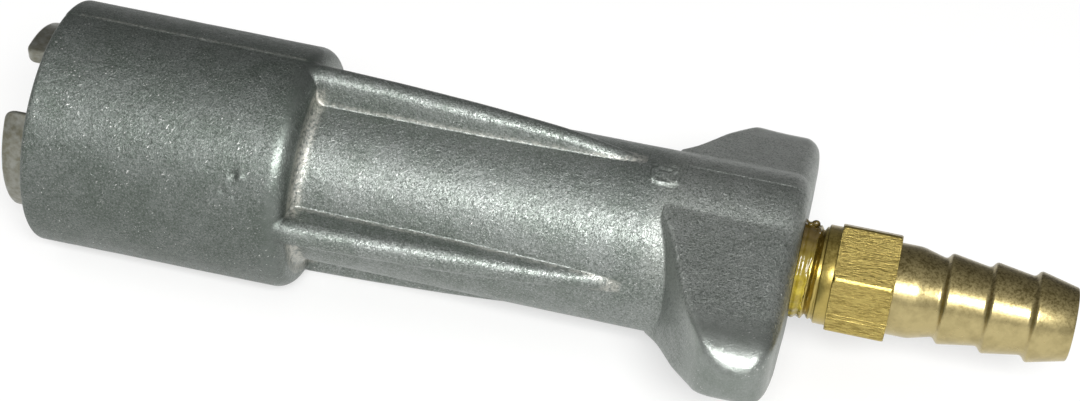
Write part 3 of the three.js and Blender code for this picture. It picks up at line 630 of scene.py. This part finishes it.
thread_start, fitting_end = ends("hose_barb")
thread_radius, thread_pitch, thread_depth = 10.67, 1.81, 1.0
collar_start, collar_radius = 179.9, 11.3
hexagon_start, hexagon_end, across_flats = 182.8, 196.2, 23.8
hexagon_corner = 32.3  # degrees to one corner
hexagon_face, hexagon_bevel, corner_cut = 13.1, 0.35, 0.22
drawn_lines, line_height, line_width = (350.8, 346.2), 0.09, 0.5  # left along a flat by the drawing die
shank_radius, shank_end, taper_end = 10.45, 201.2, 206.8
barb_root, barb_crest, barb_step, barb_back, barb_count = 8.95, 10.4, 9.92, 1.1, 3
end_radius, fitting_bore = 8.3, 6.6


def fitting_step(angle):
    """Degrees to the next column: finest over the drawn lines and the hexagon's corners."""
    if 343 < angle < 354:
        return 0.3
    return 0.5 if min(off(angle, hexagon_corner + 60 * k) for k in range(6)) < 3 else 3.0


fitting_angles = angles_with(fitting_step)
thread_x = stations((thread_start, 172, 0.36), (172, collar_start - 0.05, 0.13))[:, None]
turns = (thread_x - thread_start) / thread_pitch - fitting_angles / 360
ridge = ramp(np.abs(turns % 1 * 2 - 1) * 1.25)
run_out = ramp((collar_start - 0.3 - thread_x) / 0.5)
run_out = run_out * np.clip((thread_x - thread_start) / 1.5, 0.2, 1)
thread = thread_radius - thread_depth * (1 - ridge) * run_out
thread -= 0.9 * ramp(1 - (thread_x - thread_start) / 1.2)

flat = across_flats / 2 / np.cos(np.radians((fitting_angles - hexagon_corner) % 60 - 30))
flat = np.minimum(flat, across_flats / 2 / math.cos(math.radians(30)) - corner_cut)
for line in drawn_lines:
    flat = flat + line_height * bell(off(fitting_angles, line) / line_width)
bevel_slope = (flat.max() - hexagon_face) / hexagon_bevel
hexagon_x = np.array([0, 0.12, 0.25, 0.4, 0.55, 0.7, 0.9, 1.3, 2.2])
hexagon_x = np.concatenate([hexagon_start + hexagon_x, np.linspace(hexagon_start + 4, hexagon_end - 4, 4),
                            hexagon_end - hexagon_x[::-1]])[:, None]
from_end = np.minimum(hexagon_x - hexagon_start, hexagon_end - hexagon_x)
flat = np.broadcast_to(flat, (len(hexagon_x), len(flat)))
hexagon = trimmed(flat, hexagon_face + bevel_slope * from_end, 0.2)

rear_outline, rear_corners = [(hexagon_end, shank_radius), (shank_end, shank_radius)], [0.3, 1.0]
for k in range(barb_count):
    root = taper_end + barb_step * k
    rear_outline += [(root, barb_root), (root + barb_back, barb_crest)]
    rear_corners += [0.7, 0.55]
rear_outline += [(fitting_end, end_radius), (fitting_end, fitting_bore), (thread_start, fitting_bore)]
rear_outline = eased(rear_outline, [*rear_corners, 0.4, 0.3, 0.3], 4)[5:]
rear_outline = [(hexagon_end, shank_radius + 0.2), (hexagon_end + 0.1, shank_radius), *rear_outline]
collar = [(collar_start, collar_radius - 0.25), (collar_start + 0.08, collar_radius - 0.1),
          (collar_start + 0.25, collar_radius), (hexagon_start - 0.15, collar_radius),
          (hexagon_start, collar_radius + 0.15)]
rows = [*zip(thread_x[:, 0], thread), *collar]
hexagon_rows = range(len(rows) - 1, len(rows) + len(hexagon_x))
rows += [*zip(hexagon_x[:, 0], hexagon), *rear_outline]


def brass(name, clean, tarnish_and_shade, drawn=False):
    """Turned brass with rings round the axis, or drawn brass with lines along it. Turned brass is also
    painted darker towards its top, as shade.
    """
    skin = Finish(name, Metallic=1.0)
    patches = skin.between(skin.grain(3.5, 3, contrast=0.6), 0.42, 0.72)
    if drawn:
        marks = skin.grain(0.4, 3, skin.drawn_along((1, 0, 0), 14), contrast=0.7)
        pits = skin.grain(0.3, 3, skin.drawn_along((1, 0, 0), 7), contrast=0.75)
        skin.relief(marks, 0.04)
        skin.relief(skin.between(pits, 0.38, 0.58), 0.045)
        dirt_and_shade = skin.product(skin.between(pits, 0.42, 0.58, 1, 0), 0.66)
        skin.roughness(skin.between(marks, 0.3, 0.7, 0.26, 0.38))
    else:
        marks = skin.grain(0.3, 2, skin.round_the_axis(2.0), contrast=0.6)
        skin.relief(marks, 0.01)
        skin.relief(skin.grain(0.5, 2), 0.006)
        # painted shade: turned brass is painted darker towards its top, added to its real random tarnish
        # patches
        painted_top_shade = skin.between(skin.axes()["Z"], axis_z + 0.001, axis_z + 0.0085)
        mottling = skin.between(skin.grain(0.6, 3, contrast=0.7), 0.42, 0.62, 0.35, 1)
        dirt_and_shade = skin.sum(skin.product(patches, 0.35), skin.product(painted_top_shade, skin.product(mottling, 0.85)))
        skin.roughness(skin.between(skin.grain(1.5, 3), 0.3, 0.7, 0.27, 0.34))
    skin.colour(skin.mix(dirt_and_shade, clean, tarnish_and_shade))
    return skin.material


turned_brass = brass("turned_brass", (0.46, 0.36, 0.11), (0.20, 0.15, 0.035))
drawn_brass = brass("drawn_brass", (0.46, 0.36, 0.115), (0.12, 0.088, 0.018), drawn=True)
handled_brass = brass("handled_brass", (0.47, 0.39, 0.19), (0.14, 0.11, 0.042))
fitting = new_piece("hose_fitting", *round_skin(rows, fitting_angles), turned_brass, "body", ["hose_barb"],
                    "brass", crease=35)
fitting.data.materials.append(drawn_brass)
fitting.data.materials.append(handled_brass)
columns = len(fitting_angles)
for face in fitting.data.polygons[hexagon_rows[-1] * columns:(len(rows) - 3) * columns]:
    face.material_index = 2  # shank and barbs
for row in hexagon_rows:
    for k, face in enumerate(fitting.data.polygons[row * columns:(row + 1) * columns]):
        from_corner = min(off(fitting_angles[k] + 0.25, hexagon_corner + 60 * n) for n in range(6))
        face.material_index = 0 if from_corner < 1.3 else 1


# Pipe sealant. Yellow-brown paste that was spread on the thread and squeezed out in a lumpy ring when
# the fitting was tightened, with a few dark drops that have set on top.
def paste():
    skin = Finish("pipe_sealant", Metallic=0.0, IOR=1.5)
    lumps = skin.between(skin.grain(1.6, 3), 0.35, 0.65)
    golden = skin.mix(lumps, (0.26, 0.19, 0.015), (0.42, 0.33, 0.035))
    # painted shade: the paste is painted darker towards its top
    shaded = skin.product(skin.between(skin.axes()["Z"], axis_z + 0.003, axis_z + 0.0095), 0.75)
    golden = skin.mix(shaded, golden, (0.09, 0.06, 0.008))
    skin.colour(skin.mix(skin.attribute("thick"), golden, (0.045, 0.028, 0.006)))
    skin.roughness(skin.between(skin.grain(1.1, 2), 0.3, 0.7, 0.12, 0.26))
    skin.relief(skin.grain(0.9, 2), 0.05)
    return skin.material


sealant_start = ends("thread_sealant")[0] - 0.2
film_radius, film_edge, sealant_bottom = 10.72, 3.1, 9.7
thick_angle, thick_span, thick_height = 88, 30, 0.7
sealant_angles = angles_with(lambda angle: 2.5)
turn = np.radians(sealant_angles)
wander, runs = (  # how far the film creeps along the thread, and how it runs
    np.array([noise.noise(Vector((reach * math.cos(a), reach * math.sin(a), height))) for a in turn])
    for reach, height in ((2.2, 4.0), (7, 9.0))
)
thick = bell((sealant_angles - thick_angle) / thick_span)
film_length = film_edge * (1 + 0.3 * wander + 0.15 * runs) * (1 + 0.25 * thick)
film_rows = []
for share in (0, 0.08, 0.16, 0.24, 0.32, 0.4, 0.48, 0.56, 0.64, 0.72, 0.8, 0.88, 0.95, 1.0):
    film_x = sealant_start + film_length * share
    crest = np.cos(2 * np.pi * ((film_x - thread_start) / thread_pitch - sealant_angles / 360))
    height = film_radius + 0.2 * crest + 0.3 * runs * (1 - share) + 0.35 * max(0, 1 - share * 2.5)
    height = height + thick_height * thick * (1 - 0.5 * share) * (1 + runs)
    film_rows.append((film_x, height - 0.75 * max(0, share - 0.8) * 5 * (1 - 0.6 * thick)))
film_rows.append((sealant_start + film_length + 0.1, sealant_bottom))
film_rows.insert(0, (sealant_start, sealant_bottom))
squeezed = new_piece("squeezed_sealant", *round_skin(film_rows, sealant_angles), paste(), "body",
                     ["thread_sealant"], "sealant", crease=60)
layer = squeezed.data.attributes.new("thick", "FLOAT", "POINT")
layer.data.foreach_set("value", np.tile(0.9 * thick, len(film_rows)))


def ball(x, radius, angle, size, rings=8, sides=14):
    """Points and faces of a slightly drawn-out ball at a place round the axis."""
    turn = math.radians(angle)
    centre = np.array(spot(x, radius * -math.cos(turn), radius * math.sin(turn)))
    points = [centre + np.array((-size, 0, 0)) * millimetre]
    for i in range(1, rings):
        lean = math.pi * i / rings
        for k in range(sides):
            swing = 2 * math.pi * k / sides
            push = np.array((-math.cos(lean), 0.85 * math.sin(lean) * math.cos(swing),
                             0.85 * math.sin(lean) * math.sin(swing)))
            points.append(centre + push * size * millimetre * (1 + 0.12 * noise.noise(Vector(push * 1.7))))
    points.append(centre + np.array((size, 0, 0)) * millimetre)
    faces = [(0, 1 + (k + 1) % sides, 1 + k) for k in range(sides)]
    for i in range(rings - 2):
        for k in range(sides):
            a, b = 1 + i * sides + k, 1 + i * sides + (k + 1) % sides
            faces.append((a, b, b + sides, a + sides))
    last = len(points) - 1
    faces += [(last, last - sides + k, last - sides + (k + 1) % sides) for k in range(sides)]
    return points, faces


def dark_paste():
    skin = Finish("set_sealant", Metallic=0.0, IOR=1.5)
    lumps = skin.between(skin.grain(0.8, 2), 0.4, 0.6)
    skin.colour(skin.mix(lumps, (0.03, 0.02, 0.004), (0.09, 0.062, 0.01)))
    skin.roughness(skin.between(skin.grain(0.6, 2), 0.3, 0.7, 0.1, 0.25))
    skin.relief(skin.grain(0.7, 2), 0.06)
    return skin.material


set_sealant = dark_paste()
drops = ((176.7, 11.5, 104, 0.95), (175.6, 11.6, 97, 0.7), (177.9, 11.0, 88, 0.42))  # place and half size
for k, (x, radius, angle, size) in enumerate(drops):
    new_piece(f"sealant_drop_{k + 1}", *ball(x, radius, angle, size), set_sealant, "body", slot="sealant")


# Strainer in the neck. A perforated stainless cup that is put in from the mouth and held on its rubber
# gasket by a snap ring. All three lie deep in the bore and keep their solids from the frame.
def worn_finish(name, colour, dull, roughness, lump=2.0, relief=0.02, rings=0.0, metallic=1.0):
    """A finish in two shades with grain, and turned rings round the axis where rings gives their size."""
    skin = Finish(name, Metallic=metallic)
    patches = skin.between(skin.grain(lump, 3, contrast=0.6), 0.35, 0.65)
    skin.colour(skin.mix(patches, colour, dull))
    skin.roughness(skin.between(skin.grain(lump * 0.6, 2), 0.3, 0.7, *roughness))
    skin.relief(skin.grain(lump * 0.3, 2), relief)
    if rings:
        skin.relief(skin.grain(rings, 2, skin.round_the_axis(1.5), contrast=0.6), relief)
    return skin.material


def keep_solid(node, material):
    """Gives its material to a solid that no new piece replaces."""
    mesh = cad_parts[node].data
    mesh.materials.clear()
    mesh.materials.append(material)


stainless = worn_finish("stainless", (0.42, 0.425, 0.43), (0.34, 0.34, 0.345), (0.22, 0.34), relief=0.006,
                        rings=0.3)
black_rubber = worn_finish("black_rubber", (0.018, 0.018, 0.019), (0.032, 0.031, 0.03), (0.42, 0.62),
                           lump=1.0, relief=0.006, metallic=0.0)
black_steel = worn_finish("black_steel", (0.05, 0.05, 0.052), (0.028, 0.028, 0.03), (0.4, 0.55), lump=1.0)
keep_solid("inlet_strainer", stainless)
keep_solid("strainer_gasket", black_rubber)
keep_solid("strainer_snap_ring", black_steel)


# Valve housing. Turned from aluminium bar: a nose that goes into the adaptor, with an O-ring in its
# groove and the poppet's seat inside, a flange under three screws, and a spigot back into the neck.
def lathe(name, outline, material, body, replaced, slot, ease=0.25):
    """A turned piece from its outline of [x, radius] points, with its corners eased."""
    shape = round_skin(eased(outline, ease), angles_with(lambda angle: 3.0))
    new_piece(name, *shape, material, body, replaced, slot)


turned_aluminium = worn_finish("turned_aluminium", (0.50, 0.51, 0.52), (0.38, 0.39, 0.40), (0.24, 0.36),
                               relief=0.008, rings=0.25)
nose_start, nose_radius, nose_bevel, throat_radius, throat_end = 6.0, 12.0, 1.2, 7.0, 14.0
flange_start, flange_end, flange_radius, spigot_radius, spigot_end = 45.7, 49.7, 24.3, 16.3, 97.7
seat_end, chamber_radius, guide_seat, spigot_bore = 17.2, 9.8, 52.0, 12.0
nose_groove, nose_floor, spigot_groove, spigot_floor = (10.7, 13.7), 9.6, (58.2, 61.6), 13.2
lathe("housing", [
    (nose_start, throat_radius), (nose_start, nose_radius - nose_bevel),
    (nose_start + nose_bevel, nose_radius), *groove(*nose_groove, nose_radius, nose_floor),
    (flange_start, nose_radius), (flange_start, flange_radius), (flange_end, flange_radius),
    (flange_end, spigot_radius), *groove(*spigot_groove, spigot_radius, spigot_floor),
    (spigot_end, spigot_radius), (spigot_end, spigot_bore), (guide_seat, spigot_bore),
    (guide_seat, chamber_radius), (seat_end, chamber_radius), (throat_end, throat_radius),
], turned_aluminium, "body", ["valve_housing"], "turned_aluminium")


# O-rings. Two rings of black rubber: one in the nose's groove, which seals in the adaptor, and one in
# the spigot's, which seals in the neck.
for name, node in (("nose_o_ring", "nose_seal"), ("spigot_o_ring", "housing_o_ring")):
    low, high = (Vector(corner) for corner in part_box(node))
    middle, outer_radius = rim_distance((low.x + high.x) / 2), (high.z - low.z) / 2 / millimetre
    wire = (high.x - low.x) / millimetre
    lathe(name, arc(middle, outer_radius - wire / 2, wire / 2, 0, 345, 15), black_rubber, "body", [node],
          "rubber", ease=0.01)


# Poppet. A stainless head and stem, closed by its spring against the cone in the housing. In front of
# the head sit the rubber seal, its washer and the brass cap nut that the adaptor's own valve meets.
# The stem slides in an acetal guide behind a snap ring, and these two keep their solids.
def poppet_lathe(name, node, outline, material, slot, ease=0.25):
    """A turned piece on the poppet, moved along the axis to lie where its node does."""
    front = ends(node)[0]
    lathe(name, [(x + front, r) for x, r in outline], material, "poppet", [node], slot, ease)


on_axis, nut_bore = 0.02, 2.4
poppet_lathe("cap_nut", "poppet_tip", [(0, on_axis), (0, 4.0), (0.8, 4.8), (6.3, 4.8), (6.3, nut_bore),
                                       (4.0, nut_bore), (4.0, on_axis)], turned_brass, "brass")
poppet_lathe("seal_washer", "seal_retainer", [(0, nut_bore), (0, 5.9), (1.5, 5.9), (1.5, nut_bore)],
             stainless, "stainless", ease=0.2)
poppet_lathe("face_seal", "poppet_seal", [(0, nut_bore), (0, 7.72), (1.75, 9.3), (2.3, 9.3), (2.3, nut_bore)],
             black_rubber, "rubber", ease=0.2)
tip, stem_end = ends("poppet")
head, head_radius, tip_radius, stem_radius = 17.9, 9.3, 2.1, 3.0
lathe("poppet_stem", [(tip, on_axis), (tip, tip_radius), (head, tip_radius), (head, head_radius),
                      (head + 2.5, head_radius), (head + 2.5, 5.0), (head + 5.5, stem_radius),
                      (stem_end - 0.8, stem_radius), (stem_end, 2.2), (stem_end, on_axis)],
      stainless, "poppet", ["poppet"], "stainless")
acetal = worn_finish("acetal", (0.78, 0.76, 0.70), (0.70, 0.68, 0.61), (0.42, 0.55), relief=0.008,
                     metallic=0.0)
keep_solid("stem_guide", acetal)
keep_solid("guide_snap_ring", black_steel)


def tube_faces(rows, sides):
    """Faces of a capped tube from its rows of points."""
    last = (rows - 1) * sides
    faces = [tuple(range(sides)), tuple(reversed(range(last, last + sides)))]
    for i in range(rows - 1):
        for k in range(sides):
            a, b = i * sides + k, i * sides + (k + 1) % sides
            faces.append((b, a, a + sides, b + sides))
    return faces


def coil(node, mean_radius, wire, turns, sides):
    """Points and faces of a coil spring between a node's ends, with its end turns closed."""
    low, high = ends(node)
    low, high = low + wire / 2, high - wire / 2
    turned = np.linspace(0, turns, int(turns * 48) + 1)
    dead = 0.8 * wire  # what the end turns climb
    lead = 0.15 * (high - low - 2 * dead) / (turns - 2)
    x = np.interp(turned, (0, 0.85, 1.15, turns - 1.15, turns - 0.85, turns),
                  (low, low + dead, low + dead + lead, high - dead - lead, high - dead, high))
    points = []
    for place, a in zip(x, turned * 2 * math.pi):
        for k in range(sides):
            b = 2 * math.pi * k / sides
            r = mean_radius + wire / 2 * math.cos(b)
            points.append(spot(place + wire / 2 * math.sin(b), -r * math.cos(a), r * math.sin(a)))
    return points, tube_faces(len(x), sides)


def add_spring(name, node, mean_radius, wire, turns, sides=12):
    """A coil spring between a node's ends, which gets a mesh of its own."""
    shape = coil(node, mean_radius, wire, turns, sides)
    spring = new_piece(name, *shape, spring_steel, "body", [node], "spring_steel")
    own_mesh(spring)


spring_steel = worn_finish("spring_steel", (0.20, 0.195, 0.19), (0.13, 0.125, 0.12), (0.3, 0.42), lump=1.2)
add_spring("poppet_spring_coil", "poppet_spring", mean_radius=6.7, wire=1.4,
           turns=8, sides=10)


# Flange screws. Three countersunk stainless screws with hexagon sockets, flush in the housing's flange.
# They hold it on the step in the casting's bore.
screw_angles, screw_circle = (-6.5, 113.5, 233.5), 20.3
screw_head, screw_shank, screw_cone, screw_socket, screw_socket_depth = 3.7, 2.035, 1.665, 1.4, 1.6
for k, angle in enumerate(screw_angles):
    node = f"flange_screw_{k + 1}"
    front, rear = ends(node)
    outline = [(front + screw_socket_depth, on_axis), (front + screw_socket_depth, screw_socket),
               (front, screw_socket + 0.05), (front, screw_head), (front + screw_cone, screw_shank),
               (rear, screw_shank), (rear, on_axis)]
    rows = np.array(eased(outline, 0.12, 2))
    swing = np.radians(np.arange(0, 360, 7.5))
    hexagonal = 1 / np.cos((swing + math.radians(30)) % math.radians(60) - math.radians(30))
    a = math.radians(angle)
    points = []
    for x, r in rows:
        reach = r * (hexagonal if r < screw_socket + 0.1 else np.ones(len(swing)))
        for b, reach_here in zip(swing, reach):
            along, across = screw_circle + reach_here * math.cos(b), reach_here * math.sin(b)
            points.append(spot(x, -along * math.cos(a) + across * math.sin(a),
                               along * math.sin(a) + across * math.cos(a)))
    new_piece(f"screw_{k + 1}", points, skin_faces(len(rows), len(swing)), stainless, "body", [node],
              "stainless")


# Claw spring. A coil of spring steel round the housing's nose that stands on the flange and pushes the
# claws out of the mouth.
add_spring("claw_spring_coil", "claw_spring", mean_radius=21.1, wire=2.2,
           turns=5)


# Claw ring. A pressed and zinc-plated steel ring whose three claws reach out of the mouth and catch the
# filling adaptor. Notches in the ring slide on the casting's ribs, and it moves back against its spring.
zinc_plate = worn_finish("zinc_plate", (0.27, 0.275, 0.245), (0.17, 0.165, 0.125), (0.32, 0.44))
claw_tip, carrier_end = ends("claw_ring")
carrier_start, carrier_radius, carrier_bevel = 14.0, 24.3, 0.4
claw_inner, claw_outer = 17.9, 21.9
claw_centres = screw_angles  # the claws stand in line with the flange's screws
claw_half, claw_corner, claw_edge = 40.5, 2.2, 0.9
notch_half, notch_radius, notch_side = 2.75, 22.45, 6.9  # notch_side: about the half width in degrees


def claw_step(angle):
    """Degrees to the next column: finest at the sides of claws and notches."""
    from_side = min(abs(off(angle, centre) - claw_half) for centre in claw_centres)
    by_notch = min(abs(off(angle, rib) - notch_side) for rib in key_rib_angles)
    if from_side < 1.0 or by_notch < 0.5:
        return 0.22
    return 0.8 if from_side < 9 else 2.4


claw_angles = angles_with(claw_step)
from_side = claw_half - np.min([off(claw_angles, centre) for centre in claw_centres], axis=0)
inside = np.radians(from_side) * claw_outer  # millimetres in from a claw's side
corner = np.maximum(claw_corner - inside, 0)
tip = claw_tip + claw_corner - np.sqrt(np.maximum(claw_corner ** 2 - corner ** 2, 0))
side = np.maximum(claw_edge - inside, 0)
side = claw_edge - np.sqrt(np.maximum(claw_edge ** 2 - side ** 2, 0))
claw = inside >= 0
tip = np.where(claw, tip, carrier_start - 0.06)
low = np.where(claw, claw_inner + side, claw_inner)
high = np.where(claw, claw_outer - side, claw_outer)
notch = np.min([off(claw_angles, rib) for rib in key_rib_angles], axis=0)
rim = np.where(np.radians(notch) * carrier_radius < notch_half, notch_radius, carrier_radius)
ease = np.where(claw, claw_edge, 0.02)
claw_rows = [(carrier_start + (tip + ease - carrier_start) * share, low) for share in (0, 0.35, 0.7, 1)]
for edge, way, turns in ((low, 1, (20, 45, 70, 90)), (high, -1, (90, 70, 45, 20, 0))):
    for a in np.radians(turns):
        claw_rows.append((tip + ease * (1 - math.sin(a)), edge + way * ease * (1 - math.cos(a))))
for share in (0.7, 0.35, 0.06, 0.02):
    claw_rows.append((carrier_start + (tip + ease - carrier_start) * share, high))
claw_rows += [(carrier_start, high + 0.3), (carrier_start, rim - carrier_bevel),
              (carrier_start + 0.12, rim - 0.12), (carrier_start + carrier_bevel, rim),
              (carrier_end - carrier_bevel, rim), (carrier_end - 0.12, rim - 0.12),
              (carrier_end, rim - carrier_bevel), (carrier_end, claw_inner + carrier_bevel),
              (carrier_end - carrier_bevel, claw_inner)]
new_piece("claws", *round_skin(claw_rows, claw_angles), zinc_plate, "claw_ring", ["claw_ring"],
          "zinc_plate", crease=40)


# Stop ring. A snap ring of black spring steel in a groove of the mouth's bore. It goes in last, and the
# spring presses the claw ring against it.
def cut_ring(node, inner_radius, outer_radius, centre, opening):
    """Points and faces of a snap ring between a node's ends, open over the given degrees."""
    low, high = ends(node)
    corners = [(low, inner_radius), (low, outer_radius), (high, outer_radius), (high, inner_radius)]
    section = eased(corners, 0.2, 2)[::-1]
    points = []
    steps = 120
    for i in range(steps + 1):
        a = math.radians(centre + opening / 2 + (360 - opening) * i / steps)
        points += [spot(x, -r * math.cos(a), r * math.sin(a)) for x, r in section]
    return points, tube_faces(steps + 1, len(section))


new_piece("claw_stop_ring", *cut_ring("claw_snap_ring", 22.5, 25.5, centre=0, opening=14), black_steel,
          "body", ["claw_snap_ring"], "black_steel")
